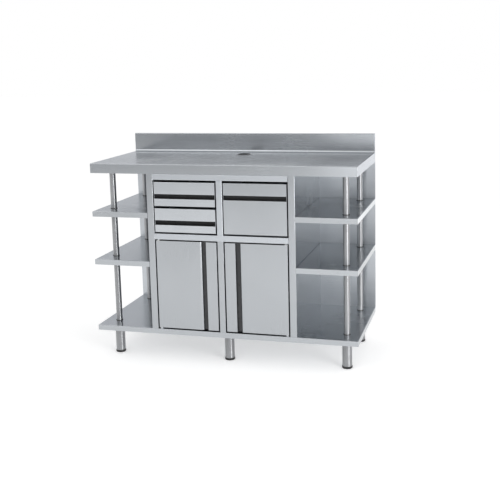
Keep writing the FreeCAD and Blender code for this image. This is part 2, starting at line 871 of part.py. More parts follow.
def make_drawer_front(label, x, z, height):
    """Drawer front folded round a full-width finger slot with a hooked upper lip."""
    body = new_body(label, x, front, z)
    slot_top = height - grip_panel
    slot_bottom = slot_top - grip_slot
    ceiling = slot_top + grip_undercut
    zero = as_size(0)
    sketch = new_sketch(body, "YZ_Plane", -front_width / 2)
    draw_outline(sketch, [
        (zero, zero),
        (front_thickness, zero),
        (front_thickness, height),
        (zero, height),
        (zero, slot_top),
        (grip_lip, slot_top),
        (grip_lip, ceiling),
        (grip_depth, ceiling),
        (grip_depth, slot_bottom),
        (zero, slot_bottom),
    ])
    block = pad(body, sketch, front_width)
    bends = [(zero, zero), (zero, height), (zero, slot_bottom)]
    block = round_off(body, block, straight_edges(block, "X", bends), front_bend)
    hems = [(zero, slot_top), (grip_lip, slot_top)]
    block = round_off(body, block, straight_edges(block, "X", hems), grip_lip * 0.4)
    hollow(body, block, level_faces(block, "Y", front_thickness), steel)
    for start in (-front_width / 2, front_width / 2 - steel):
        cheek = new_sketch(body, "YZ_Plane", start)
        overlap = steel / 2
        draw_rectangle(cheek, grip_lip / 2, slot_bottom - overlap, grip_depth + overlap, ceiling + overlap)
        pad(body, cheek, steel)


def make_door(label, side):
    """Door skin folded round a full-height finger groove beside the centre stile."""
    body = new_body(label, side * (stile_edge - side_gap), front, door_z)
    free_edge = -side * front_width
    groove_start = free_edge + side * door_strip
    groove_end = groove_start + side * (door_slot + door_round)
    undercut = groove_start - side * door_grip_undercut
    zero = as_size(0)
    corners = [
        (zero, zero),
        (zero, door_thickness),
        (free_edge, door_thickness),
        (free_edge, zero),
        (groove_start, zero),
        (groove_start, grip_lip),
        (undercut, grip_lip),
        (undercut, door_grip_depth),
        (groove_end, door_grip_depth),
        (groove_end, zero),
    ]
    sketch = new_sketch(body, "XY_Plane")
    draw_outline(sketch, corners)
    block = pad(body, sketch, door_height)
    block = round_off(body, block, straight_edges(block, "Z", [(groove_end, zero)]), door_round)
    bends = [(zero, zero), (free_edge, zero)]
    block = round_off(body, block, straight_edges(block, "Z", bends), front_bend)
    hems = [(groove_start, zero), (groove_start, grip_lip)]
    block = round_off(body, block, straight_edges(block, "Z", hems), grip_lip * 0.4)
    hollow(body, block, level_faces(block, "Y", door_thickness), steel)
    place = [(-side * pivot_inset, door_thickness / 2)]
    drill(body, "XY_Plane", -steel, door_height + 2 * steel, place, bush_diameter)


def make_door_liner(label, side):
    """Folded inner sheet that closes the back of a door."""
    body = new_body(label, side * (stile_edge - side_gap), front + door_thickness, door_z)
    gap = steel + door_liner_gap
    near = -side * gap
    far = -side * (front_width - gap)
    low, high = (near, far) if side < 0 else (far, near)
    sketch = new_sketch(body, "XZ_Plane", -door_liner_fold)
    draw_rectangle(sketch, low, gap, high, door_height - gap)
    block = pad(body, sketch, door_liner_fold)
    hollow(body, block, level_faces(block, "Y", -door_liner_fold), steel)


def make_door_bushes(label, side):
    """Plastic bushes in the door's top and bottom folds."""
    body = new_body(label, side * pivot_x, pivot_y, door_z)
    bore = pivot_diameter / 2 + pivot_clearance
    barrel = bush_diameter / 2
    collar = bush_flange / 2
    for edge, inward in ((as_size(0), 1), (door_height, -1)):
        revolve(body, [
            (bore, edge - inward * bush_flange_height),
            (collar, edge - inward * bush_flange_height),
            (collar, edge),
            (barrel, edge),
            (barrel, edge + inward * bush_length),
            (bore, edge + inward * bush_length),
        ])


def make_pivot_pins():
    """Pins that the doors turn on, fixed to the base shelf and to the deck's lip."""
    body = new_body("door_pivot_pins", 0, pivot_y, 0)
    pin = pivot_diameter
    door_top = door_z + door_height
    lower_seat = door_z - bush_flange_height - bush_float
    for side in (-1, 1):
        place = (side * pivot_x, 0)
        pieces = [
            (base_height, lower_seat, bush_flange),
            (lower_seat, door_z + pivot_engagement, pin),
            (door_top - pivot_engagement, deck_underside + steel, pin),
            (deck_underside + steel, deck_underside + steel + pivot_flange_height, pivot_flange),
        ]
        for low, high, diameter in pieces:
            sketch = new_sketch(body, "XY_Plane", low)
            draw_circle(sketch, place, diameter)
            pad(body, sketch, high - low)


def make_door_magnets():
    """Magnetic catches on the centre stile, one behind each door."""
    body = new_body("door_magnets", 0, front + door_thickness + magnet_gap,
                    deck_underside - magnet_drop)
    sketch = new_sketch(body, "XY_Plane", -magnet_height)
    for side in (-1, 1):
        near = side * centre_edge
        far = side * (centre_edge + magnet_width)
        low, high = (far, near) if side < 0 else (near, far)
        draw_rectangle(sketch, low, 0, high, magnet_depth)
    pad(body, sketch, magnet_height)


# ----------------------------------------------------------------------------
# Drawers and runners
# ----------------------------------------------------------------------------

def make_drawer_box(label, x, z, height):
    """Folded drawer box, open at the top."""
    body = new_body(label, x, drawer_start, z)
    sketch = new_sketch(body, "XY_Plane")
    outline = rectangle(-box_half_width, as_size(0), box_half_width, drawer_length)
    draw_outline(sketch, outline)
    block = pad(body, sketch, height)
    block = round_off(body, block, level_edges(block, "Z", 0), bend)
    carve(body, block, inset_outline(outline, steel), steel, as_size(height), steel, bend - steel)


def make_hopper_bin():
    """Lift-out grounds bin with drafted walls and a turned-out rim."""
    floor_z = lower_front_z + drawer_box_rise + steel + bin_floor_gap
    body = new_body("hopper_bin", column_centre, drawer_start, floor_z)
    reach = box_half_width - steel - bin_clearance
    near = steel + bin_clearance
    far = drawer_length - steel - bin_clearance
    outline = rectangle(-reach, near, reach, far)
    sketch = new_sketch(body, "XY_Plane")
    draw_outline(sketch, inset_outline(outline, bin_rim + bin_taper * bin_height / 57))
    block = body.newObject("PartDesign::Pad", "Walls")
    block.Profile = sketch
    bind(block, "Length", bin_height)
    bind(block, "TaperAngle", bin_taper)
    doc.recompute()
    hollow(body, block, level_faces(block, "Z", bin_height), steel)
    rim = new_sketch(body, "XY_Plane", bin_height - steel)
    draw_outline(rim, outline)
    draw_outline(rim, inset_outline(outline, bin_rim + steel / 2))
    pad(body, rim, steel)


def make_knock_bar():
    """Steel bar across the hopper box, with an end plate on each wall."""
    body = new_body("knock_bar", column_centre, drawer_start + knock_bar_setback,
                    lower_front_z + drawer_box_rise + hopper_box_height - knock_bar_drop)
    reach = box_half_width - steel
    bar = new_sketch(body, "YZ_Plane", -reach)
    draw_circle(bar, (0, 0), knock_bar_diameter)
    pad(body, bar, 2 * reach)
    for start in (-reach, reach - 2 * steel):
        plate = new_sketch(body, "YZ_Plane", start)
        draw_circle(plate, (0, 0), 2 * knock_bar_diameter)
        pad(body, plate, 2 * steel)


def make_knock_sleeve():
    """Thick rubber sleeve on the knock bar."""
    body = new_body("knock_bar_sleeve", column_centre, drawer_start + knock_bar_setback,
                    lower_front_z + drawer_box_rise + hopper_box_height - knock_bar_drop)
    sketch = new_sketch(body, "YZ_Plane", -sleeve_length / 2)
    draw_circle(sketch, (0, 0), sleeve_diameter)
    draw_circle(sketch, (0, 0), knock_bar_diameter)
    pad(body, sketch, sleeve_length)


def runner_section(member):
    """Section of the right-hand runner member: (near the wall, height, how far it opens)."""
    wall = column_width / 2
    step = runner_steel + runner_race
    if member == "cabinet":
        return wall, wall - runner_thickness + 2 * runner_steel, runner_height / 2
    if member == "middle":
        return wall - step, wall - runner_thickness + 1.5 * runner_steel, runner_height / 2 - step
    return box_half_width, wall - 2 * step, runner_height / 2 - 2 * step


def make_runner_pair(label, x, z, member):
    """Left and right member of one stage of a drawer's telescopic runners."""
    body = new_body(label, x, drawer_start, z)
    web, tips, reach = runner_section(member)
    path = [(tips, -reach), (web, -reach), (web, reach), (tips, reach)]
    side = -1 if member == "drawer" else 1
    strip = folded_strip(body, "XZ_Plane", 0, path, drawer_length, runner_steel, runner_race, side)
    base = body.Group[body.Group.index(strip) - 2]
    mirror_across(body, [base, body.Group[body.Group.index(strip) - 1], strip], "YZ_Plane")


# ----------------------------------------------------------------------------
# The station
# ----------------------------------------------------------------------------

def build_frame():
    make_worktop()
    make_cable_grommet()
    top_spots = [-post_x, -half_cabinet, half_cabinet, post_x]
    make_channels("worktop_channels", worktop_channel_web, worktop_fold - steel, top_spots,
                  worktop_underside)
    make_channels("base_channels", base_channel_web, shelf_fold - steel,
                  [-post_x, as_size(0), post_x], base_underside)
    make_base_shelf()
    for name, side in (("left", -1), ("right", 1)):
        make_bay_shelf(f"{name}_lower_shelf", side, lower_shelf_height)
        make_bay_shelf(f"{name}_upper_shelf", side, upper_shelf_height)
        make_posts(f"front_{name}_posts", side * post_x, post_front_y)
        make_posts(f"rear_{name}_posts", side * post_x, post_rear_y)
    make_tie_rods()
    for row, y in (("front", post_front_y), ("rear", post_rear_y)):
        make_legs(f"{row}_legs", y)
        for name, x in (("left", -post_x), ("centre", 0), ("right", post_x)):
            make_foot(f"{row}_{name}_foot", x, y)


def build_cabinet():
    make_back_panel()
    for name, side in (("left", -1), ("right", 1)):
        make_side_panel(f"{name}_side_panel", side)
        make_lining_panel(f"{name}_lining_panel", side)
    make_drawer_divider()
    make_centre_stile()
    make_top_rail()
    make_drawer_deck()
    make_inner_shelf()
    make_shelf_rails()


def build_doors():
    for name, side in (("left", -1), ("right", 1)):
        make_door(f"{name}_door", side)
        make_door_liner(f"{name}_door_liner", side)
        make_door_bushes(f"{name}_door_bushes", side)
    make_pivot_pins()
    make_door_magnets()


def build_drawers():
    drawers = [
        ("upper", -column_centre, upper_front_z, drawer_front_height, drawer_box_height),
        ("lower", -column_centre, lower_front_z, drawer_front_height, drawer_box_height),
        ("hopper", column_centre, lower_front_z, hopper_front_height, hopper_box_height),
    ]
    for name, x, z, front_height, box_height in drawers:
        make_drawer_front(f"{name}_drawer_front", x, z, front_height)
        make_drawer_box(f"{name}_drawer_box", x, z + drawer_box_rise, box_height)
        for member in ("cabinet", "middle", "drawer"):
            make_runner_pair(f"{name}_{member}_runners", x, z + runner_rise, member)
    make_hopper_bin()
    make_knock_bar()
    make_knock_sleeve()


def check_document():
    """Stop if any object of the document failed."""
    doc.recompute()
    for item in doc.Objects:
        if "Invalid" in item.State or "Error" in item.State:
            raise RuntimeError(f"{item.Label} ({item.Name}) is {item.State}")


def write_nodes():
    """Write every sub-part to a file with its own name."""
    for body in NODES:
        shape = body.Shape
        if shape.isNull() or not shape.isValid():
            raise RuntimeError(f"{body.Label} has no valid shape")
    for body in NODES:
        body.Shape.exportStep(os.path.join("parts", body.Label + ".step"))


build_frame()
build_cabinet()
build_doors()
build_drawers()
check_document()
write_nodes()
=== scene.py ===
"""Looks of the stainless waiter service station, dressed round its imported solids.

Metres throughout. Front at -Y, +X to the right, floor at Z = 0.
"""

import math

import bmesh
import bpy
from bpy.props import FloatProperty, FloatVectorProperty, PointerProperty
from mathutils import Matrix, Vector


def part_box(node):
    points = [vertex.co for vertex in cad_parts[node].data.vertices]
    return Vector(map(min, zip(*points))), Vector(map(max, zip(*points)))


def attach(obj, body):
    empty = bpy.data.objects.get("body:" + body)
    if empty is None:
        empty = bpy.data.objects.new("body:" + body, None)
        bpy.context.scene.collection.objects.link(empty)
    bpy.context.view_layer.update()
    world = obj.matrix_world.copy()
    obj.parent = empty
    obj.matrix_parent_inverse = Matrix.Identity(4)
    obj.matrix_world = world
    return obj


bl_info = {
    "name": "Waiter Service Station",
    "version": (1, 0, 0),
    "blender": (4, 5, 0),
    "location": "View3D > Sidebar > Service Station",
    "description": "Finishes, fasteners and studio of a stainless waiter service station",
    "category": "Object",
}

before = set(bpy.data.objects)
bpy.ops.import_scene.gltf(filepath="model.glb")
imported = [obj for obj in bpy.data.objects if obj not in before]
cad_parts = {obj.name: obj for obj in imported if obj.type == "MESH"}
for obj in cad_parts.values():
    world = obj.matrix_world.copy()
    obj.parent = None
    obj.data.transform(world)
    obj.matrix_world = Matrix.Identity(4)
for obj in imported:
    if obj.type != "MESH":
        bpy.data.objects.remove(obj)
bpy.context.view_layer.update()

FEET = ("front_left", "front_centre", "front_right", "rear_left", "rear_centre", "rear_right")
DRAWERS = ("upper", "lower", "hopper")

# Fits, in metres
FIT_GAP = 0.0002          # between a near-black painted-shade sheet and the sheet that it lies on, and between a post and its ring
TOUCH_GAP = 0.0001          # between a plate or ring and the face that it rests on
SLOT_END_GAP = 0.0014       # from a drawer front's end to the near-black sheet painted into its slot as shade
GROOVE_END_GAP = 0.0005     # from a door's end to the dark sheet painted into its groove as shade
SLOT_MOUTH = 0.0035         # from a drawer front's face to the liner's lower edge
STRIKE_INSET = 0.003        # from a door's edge, or a catch's end, to the strike plate
SHEET_THICKNESS = 0.0012
LEG_PLATE_THICKNESS = 0.003

# Fasteners, in metres
STILE_RIVET_INSET = 0.008   # from a side panel's outer face to its column of rivets
END_COLUMN_FACTOR = 1.5     # the end columns' inset for each metre of the rows' inset
BOX_SCREW_LEVELS = (0.022, 0.062)   # heights of the screws above a drawer box's underside
SCREW_BEVEL = 0.0004

# Mesh work, in metres
WELD_DISTANCE = 0.000001
LEVEL_TOLERANCE = 0.0000001
RING_EASE_SHARE = 0.3       # eased edge of a seating ring for each metre of its height
RING_STEPS = 48

# Finishes: noise stays mostly in one range, and the sum of two noises in the other
NOISE_RANGE = (0.3, 0.7)
SUM_RANGE = (0.6, 1.4)
BAND_WIDTH_SHARE = 0.17     # scale of the broad bands against that of the scratches
BAND_LENGTH_SHARE = 0.3
CLOUD_SCALE = (3.1, 3.1, 3.1)
MOULD_GRAIN = 900.0
THREAD_DEPTH_SHARE = 0.3    # depth of the thread for each metre of its pitch
SLEEVE_COLOUR = (0.02, 0.02, 0.02)
CATCH_COLOUR = (0.55, 0.55, 0.54)
BUSH_COLOUR = (0.70, 0.70, 0.67)

# Lamps: name, place, target, width and height
LAMPS = (
    ("key", (-1.6, -3.4, 3.6), (0.0, 0.0, 0.6), (3.0, 3.0)),
    ("fill", (1.5, -3.2, 0.9), (0.5, 0.2, 0.7), (1.6, 1.6)),
    ("side", (3.6, -2.7, 1.1), (0.6, -0.2, 0.7), (2.0, 2.2)),
    ("back", (1.2, 2.9, 0.5), (0.7, 0.0, 0.7), (1.2, 1.2)),
    ("front", (-0.3, -8.2, 0.45), (0.5, 0.0, 1.0), (1.2, 1.2)),
)

# Cards: left and right edge, then each card's depth and height
FLAG_SPAN = (-9.0, 9.0)
FRONT_FLAG = (-8.5, 2.7)
REAR_FLAG = (5.0, 3.2)

# Camera: place in metres, turn in radians, lens in pixels of the square frame
CAMERA_PLACE = (1.3517, -4.2974, 1.5724)
CAMERA_YAW, CAMERA_PITCH, CAMERA_ROLL = 0.2676, 0.15738, -0.02230
LENS_PIXELS = 853.2
LENS_CENTRE = (268.0, 192.0)
FRAME_PIXELS = 500
SENSOR_WIDTH = 36.0
VIEW_RANGE = 200.0


# ----------------------------------------------------------------------------
# Sizes and colours that a user would change
# ----------------------------------------------------------------------------

class StationFinish(bpy.types.PropertyGroup):
    """Colours and grain of the metal."""

    sheet_colour: FloatVectorProperty(
        name="Sheet colour", description="Colour of the brushed sheet", subtype="COLOR",
        size=3, min=0.0, max=1.0, default=(0.458, 0.478, 0.500))
    tube_colour: FloatVectorProperty(
        name="Tube colour", description="Colour of the polished posts and legs", subtype="COLOR",
        size=3, min=0.0, max=1.0, default=(0.37, 0.376, 0.386))
    zinc_colour: FloatVectorProperty(
        name="Zinc colour", description="Colour of the zinc-plated runners, rods and screws",
        subtype="COLOR", size=3, min=0.0, max=1.0, default=(0.52, 0.54, 0.57))
    plastic_colour: FloatVectorProperty(
        name="Foot colour", description="Colour of the black plastic feet", subtype="COLOR",
        size=3, min=0.0, max=1.0, default=(0.015, 0.015, 0.016))
    # Painted shade: near-black colour of the sheets in the finger slots and of the grommet's bore,
    # standing for the shadow deep inside them.
    painted_shade_colour: FloatVectorProperty(
        name="Painted shade colour", description="Colour of the liners in the finger slots",
        subtype="COLOR", size=3, min=0.0, max=1.0, default=(0.006, 0.006, 0.007))
    # Painted shade: dark colour of the sheets in the door grooves, standing for the shadow in them.
    painted_groove_shade_colour: FloatVectorProperty(
        name="Painted groove shade colour", description="Colour of the liners in the door grooves",
        subtype="COLOR", size=3, min=0.0, max=1.0, default=(0.030, 0.031, 0.034))
    grommet_colour: FloatVectorProperty(
        name="Grommet colour", description="Colour of the cable grommet's face",
        subtype="COLOR", size=3, min=0.0, max=1.0, default=(0.20, 0.205, 0.22))
    sheet_roughness: FloatProperty(
        name="Sheet roughness", description="Mean roughness of the brushed sheet",
        subtype="FACTOR", min=0.05, max=1.0, default=0.23)
    # Painted light: a lighter copy of the sheet colour for the two small drawer fronts, standing
    # for the light they catch.
    front_painted_light: FloatProperty(
        name="Front painted light", description="Brightness of the two small drawer fronts",
        subtype="FACTOR", min=0.1, max=1.5, default=1.20)
    # Painted shade: a darker copy of the sheet colour for the sheets brushed upright, standing for
    # the light they miss.
    upright_painted_shade: FloatProperty(
        name="Upright painted shade", description="Brightness of the sheets brushed upright",
        subtype="FACTOR", min=0.1, max=1.5, default=0.94)
    panel_colour: FloatVectorProperty(
        name="Panel colour", description="Colour of the duller mill finish of the inner sheets",
        subtype="COLOR", size=3, min=0.0, max=1.0, default=(0.565, 0.592, 0.622))
    panel_roughness: FloatProperty(
        name="Panel roughness", description="Mean roughness of the mill finish",
        subtype="FACTOR", min=0.05, max=1.0, default=0.34)
    grain_width: FloatProperty(
        name="Grain width", description="Width of one brushed scratch", subtype="DISTANCE",
        unit="LENGTH", min=0.0001, default=0.0006)
    grain_length: FloatProperty(
        name="Grain length", description="Length of one brushed scratch", subtype="DISTANCE",
        unit="LENGTH", min=0.001, default=0.12)
    grain_depth: FloatProperty(
        name="Grain depth", description="Depth of the brushed scratches", subtype="DISTANCE",
        unit="LENGTH", min=0.0, default=0.000008)


class StationHardware(bpy.types.PropertyGroup):
    """Small fittings that are only in the looks."""

    screw_across: FloatProperty(
        name="Screw width", description="Width across the flats of the leg screws",
        subtype="DISTANCE", unit="LENGTH", default=0.010)
    screw_head: FloatProperty(
        name="Screw head", description="Height of the leg screws' heads",
        subtype="DISTANCE", unit="LENGTH", default=0.004)
    screw_spread: FloatProperty(
        name="Screw spread", description="Distance between neighbouring leg screws",
        subtype="DISTANCE", unit="LENGTH", default=0.066)
    slot_height: FloatProperty(
        name="Slot height", description="Height of the drawers' finger slots",
        subtype="DISTANCE", unit="LENGTH", default=0.024)
    slot_depth: FloatProperty(
        name="Slot depth", description="Depth of the drawers' finger slots",
        subtype="DISTANCE", unit="LENGTH", default=0.028)
    slot_drop: FloatProperty(
        name="Slot drop", description="From a drawer front's top edge down to its slot",
        subtype="DISTANCE", unit="LENGTH", default=0.062)
    slot_undercut: FloatProperty(
        name="Slot undercut", description="Room behind the lip of a slot or a groove",
        subtype="DISTANCE", unit="LENGTH", default=0.012)
    lip_depth: FloatProperty(
        name="Lip depth", description="Thickness of the hooked lips",
        subtype="DISTANCE", unit="LENGTH", default=0.004)
    groove_width: FloatProperty(
        name="Groove width", description="Width of the flat floor of the doors' grooves",
        subtype="DISTANCE", unit="LENGTH", default=0.023)
    groove_depth: FloatProperty(
        name="Groove depth", description="Depth of the doors' grooves",
        subtype="DISTANCE", unit="LENGTH", default=0.015)
    groove_inset: FloatProperty(
        name="Groove inset", description="From a door's free edge to its groove",
        subtype="DISTANCE", unit="LENGTH", default=0.056)
    # Thickness of the near-black sheets that paint the shade in the slots and grooves.
    shade_sheet_thickness: FloatProperty(
        name="Liner thickness", description="Thickness of the black liners in slots and grooves",
        subtype="DISTANCE", unit="LENGTH", default=0.0012)
    thread_pitch: FloatProperty(
        name="Thread pitch", description="Pitch of the levelling thread",
        subtype="DISTANCE", unit="LENGTH", default=0.00175)
    # The black bore inside this face is painted shade of the hole.
    grommet_face: FloatProperty(
        name="Grommet face", description="Width of the grommet's grey face round its black bore",
        subtype="DISTANCE", unit="LENGTH", default=0.0055)
    collar_width: FloatProperty(
        name="Collar width", description="How far a post's seating ring stands out from the post",
        subtype="DISTANCE", unit="LENGTH", default=0.0025)
    collar_height: FloatProperty(
        name="Collar height", description="Height of a post's seating ring",
        subtype="DISTANCE", unit="LENGTH", default=0.002)
    box_screw_radius: FloatProperty(
        name="Drawer screw radius", description="Radius of the drawer boxes' screw heads",
        subtype="DISTANCE", unit="LENGTH", default=0.0045)
    box_screw_height: FloatProperty(
        name="Drawer screw height", description="Height of the drawer boxes' screw heads",
        subtype="DISTANCE", unit="LENGTH", default=0.0022)
    box_screw_inset: FloatProperty(
        name="Drawer screw inset", description="From a drawer box's side to its screws",
        subtype="DISTANCE", unit="LENGTH", default=0.040)
    rivet_radius: FloatProperty(
        name="Rivet radius", description="Radius of the rivet heads in the back panel",
        subtype="DISTANCE", unit="LENGTH", default=0.0035)
    rivet_height: FloatProperty(
        name="Rivet height", description="Height of the rivet heads in the back panel",
        subtype="DISTANCE", unit="LENGTH", default=0.0010)
    rivet_inset: FloatProperty(
        name="Rivet inset", description="From the back panel's edge to its row of rivets",
        subtype="DISTANCE", unit="LENGTH", default=0.018)
    rivet_pitch: FloatProperty(
        name="Rivet pitch", description="Distance between neighbouring rivets",
        subtype="DISTANCE", unit="LENGTH", default=0.120)


class StationStage(bpy.types.PropertyGroup):
    """Floor, lights and camera."""

    floor_size: FloatProperty(
        name="Floor size", description="Width of the floor", subtype="DISTANCE",
        unit="LENGTH", default=60.0)
    floor_colour: FloatVectorProperty(
        name="Floor colour", description="Colour of the floor", subtype="COLOR", size=3,
        min=0.0, max=1.0, default=(0.93, 0.93, 0.93))
    floor_lift: FloatProperty(
        name="Floor lift", description="White added to the floor as the eye and mirrors see it",
        subtype="FACTOR", min=0.0, max=1.0, default=0.36)
    ambient: FloatProperty(
        name="Ambient level", description="Light that comes evenly from all round",
        subtype="FACTOR", min=0.0, max=1.0, default=0.70)
    key_power: FloatProperty(
        name="Key power", description="Power of the main soft light in watts",
        unit="POWER", min=0.0, default=22.0)
    fill_power: FloatProperty(
        name="Fill power", description="Power of the light into the right bays in watts",
        unit="POWER", min=0.0, default=5.0)
    side_power: FloatProperty(
        name="Side power", description="Power of the light at the right front in watts",
        unit="POWER", min=0.0, default=80.0)
    back_power: FloatProperty(
        name="Back power", description="Power of the light at the right rear in watts",
        unit="POWER", min=0.0, default=1.6)
    front_power: FloatProperty(
        name="Front power", description="Power of the low light far in front in watts",
        unit="POWER", min=0.0, default=9.0)
    flag_colour: FloatVectorProperty(
        name="Flag colour", description="Colour of the grey card in front that shapes reflections",
        subtype="COLOR", size=3, min=0.0, max=1.0, default=(0.45, 0.46, 0.48))
    rear_flag_colour: FloatVectorProperty(
        name="Rear flag colour", description="Colour of the pale card behind the station",
        subtype="COLOR", size=3, min=0.0, max=1.0, default=(0.87, 0.89, 0.93))


# ----------------------------------------------------------------------------
# Materials
# ----------------------------------------------------------------------------

class Nodes:
    """A material's node tree with short ways to add and join nodes."""

    def __init__(self, name):
        self.material = bpy.data.materials.new(name)
        self.material.use_nodes = True
        self.tree = self.material.node_tree
        self.shader = self.tree.nodes["Principled BSDF"]

    def add(self, kind, **inputs):
        node = self.tree.nodes.new(kind)
        for key, value in inputs.items():
            node.inputs[key.replace("_", " ")].default_value = value
        return node

    def join(self, source, target):
        self.tree.links.new(source, target)

    def set(self, **inputs):
        for key, value in inputs.items():
            self.shader.inputs[key.replace("_", " ")].default_value = value

    def coordinates(self):
        return self.tree.nodes.new("ShaderNodeTexCoord").outputs["Object"]

    def place(self, scale):
        """Object coordinates stretched by a scale along each axis."""
        mapping = self.add("ShaderNodeMapping", Scale=scale)
        self.join(self.coordinates(), mapping.inputs["Vector"])
        return mapping.outputs["Vector"]

    def noise(self, vector, detail=2.0, roughness=0.5):
        node = self.add("ShaderNodeTexNoise", Scale=1.0, Detail=detail, Roughness=roughness)
        self.join(vector, node.inputs["Vector"])
        return node.outputs["Fac"]

    def spread(self, factor, low, high, span=(0.0, 1.0)):
        """Map a factor from its span to the range from low to high."""
        node = self.tree.nodes.new("ShaderNodeMapRange")
        for key, value in (("From Min", span[0]), ("From Max", span[1]),
                           ("To Min", low), ("To Max", high)):
            node.inputs[key].default_value = value
        self.join(factor, node.inputs["Value"])
        return node.outputs["Result"]

    def ramp(self, factor, *stops):
        """Blend colours along a factor; a stop is (place, colour)."""
        node = self.tree.nodes.new("ShaderNodeValToRGB")
        points = node.color_ramp.elements
        while len(points) < len(stops):
            points.new(0.5)
        for point, (place, colour) in zip(points, stops):
            point.position = place
            point.color = (*colour, 1.0)
        self.join(factor, node.inputs["Fac"])
        return node.outputs["Color"]

    def part(self, axis):
        """One Object coordinate."""
        split = self.tree.nodes.new("ShaderNodeSeparateXYZ")
        self.join(self.coordinates(), split.inputs["Vector"])
        return split.outputs[axis]

    def reach(self, centre):
        """Distance from an upright axis."""
        flat = self.add("ShaderNodeMapping", Scale=(1.0, 1.0, 0.0),
                        Location=(-centre[0], -centre[1], 0.0))
        self.join(self.coordinates(), flat.inputs["Vector"])
        length = self.tree.nodes.new("ShaderNodeVectorMath")
        length.operation = "LENGTH"
        self.join(flat.outputs["Vector"], length.inputs[0])
        return length.outputs["Value"]

    def above(self, value, threshold):
        node = self.tree.nodes.new("ShaderNodeMath")
        node.operation = "GREATER_THAN"
        node.inputs[1].default_value = threshold
        self.join(value, node.inputs[0])
        return node.outputs["Value"]

    def mix_numbers(self, first, second, operation):
        node = self.tree.nodes.new("ShaderNodeMath")
        node.operation = operation
        self.join(first, node.inputs[0])
        self.join(second, node.inputs[1])
        return node.outputs["Value"]

    def bump(self, height, distance, strength=1.0):
        node = self.add("ShaderNodeBump", Strength=strength, Distance=distance)
        self.join(height, node.inputs["Height"])
        self.join(node.outputs["Normal"], self.shader.inputs["Normal"])


def tinted(colour, factor):
    return tuple(min(1.0, channel * factor) for channel in colour)


def brushed_steel(name, colour, roughness, grain, finish):
    """Brushed metal with scratches and bands along the grain axis and a cloudy polish."""
    nodes = Nodes(name)
    nodes.set(Metallic=1.0)
    across, along = 1.0 / finish.grain_width, 1.0 / finish.grain_length
    fine = nodes.place([along if axis == grain else across for axis in "XYZ"])
    wide, long = across * BAND_WIDTH_SHARE, along * BAND_LENGTH_SHARE
    coarse = nodes.place([long if axis == grain else wide for axis in "XYZ"])
    scratches = nodes.noise(fine, detail=3.0, roughness=0.6)
    bands = nodes.noise(coarse, detail=2.0)
    clouds = nodes.noise(nodes.place(CLOUD_SCALE), detail=3.0, roughness=0.55)
    streaks = nodes.mix_numbers(scratches, bands, "ADD")
    shade = nodes.ramp(nodes.spread(streaks, 0.0, 1.0, SUM_RANGE),
                       (0.0, tinted(colour, 0.965)), (0.5, colour), (1.0, tinted(colour, 1.03)))
    nodes.join(shade, nodes.shader.inputs["Base Color"])
    polish = nodes.mix_numbers(
        nodes.spread(streaks, -0.04, 0.04, SUM_RANGE),
        nodes.spread(clouds, roughness - 0.05, roughness + 0.05, NOISE_RANGE), "ADD")
    nodes.join(polish, nodes.shader.inputs["Roughness"])
    nodes.bump(scratches, distance=finish.grain_depth)
    return nodes.material


def polished_tube(name, colour):
    """Bright tube, ground round its girth so that a side light draws an upright line on it."""
    nodes = Nodes(name)
    nodes.set(Metallic=1.0, Anisotropic=1.0)
    upright = nodes.add("ShaderNodeCombineXYZ", Z=1.0)
    nodes.join(upright.outputs["Vector"], nodes.shader.inputs["Tangent"])
    rings = nodes.noise(nodes.place((14.0, 14.0, 1400.0)), detail=2.0)
    blotches = nodes.noise(nodes.place((22.0, 22.0, 9.0)), detail=2.0)
    shade = nodes.ramp(rings, (0.3, tinted(colour, 0.93)), (0.7, tinted(colour, 1.05)))
    nodes.join(shade, nodes.shader.inputs["Base Color"])
    polish = nodes.mix_numbers(nodes.spread(rings, -0.04, 0.04, NOISE_RANGE),
                               nodes.spread(blotches, 0.30, 0.38, NOISE_RANGE), "ADD")
    nodes.join(polish, nodes.shader.inputs["Roughness"])
    nodes.bump(rings, distance=0.00001)
    return nodes.material


def zinc_plate(name, colour):
    """Zinc plating: bluish, cloudy and a little spangled."""
    nodes = Nodes(name)
    nodes.set(Metallic=1.0)
    clouds = nodes.noise(nodes.place((60.0, 25.0, 60.0)), detail=4.0, roughness=0.65)
    grains = nodes.add("ShaderNodeTexVoronoi", Scale=1.0)
    nodes.join(nodes.place((420.0, 420.0, 420.0)), grains.inputs["Vector"])
    shade = nodes.ramp(clouds, (0.3, tinted(colour, 0.86)), (0.7, tinted(colour, 1.08)))
    nodes.join(shade, nodes.shader.inputs["Base Color"])
    nodes.join(nodes.spread(clouds, 0.30, 0.44, NOISE_RANGE), nodes.shader.inputs["Roughness"])
    nodes.bump(grains.outputs["Distance"], distance=0.00002, strength=0.5)
    return nodes.material


def moulded_plastic(name, colour, roughness, grain=MOULD_GRAIN):
    """Moulded plastic with an eroded skin and faint flow marks."""
    nodes = Nodes(name)
    skin = nodes.noise(nodes.place((grain, grain, grain)), detail=2.0)
    flow = nodes.noise(nodes.place((40.0, 40.0, 70.0)), detail=3.0)
    shade = nodes.ramp(flow, (0.3, tinted(colour, 0.8)), (0.7, tinted(colour, 1.25)))
    nodes.join(shade, nodes.shader.inputs["Base Color"])
    nodes.join(nodes.spread(flow, roughness - 0.08, roughness + 0.08, NOISE_RANGE),
               nodes.shader.inputs["Roughness"])
    nodes.bump(skin, distance=0.00008, strength=0.6)
    return nodes.material


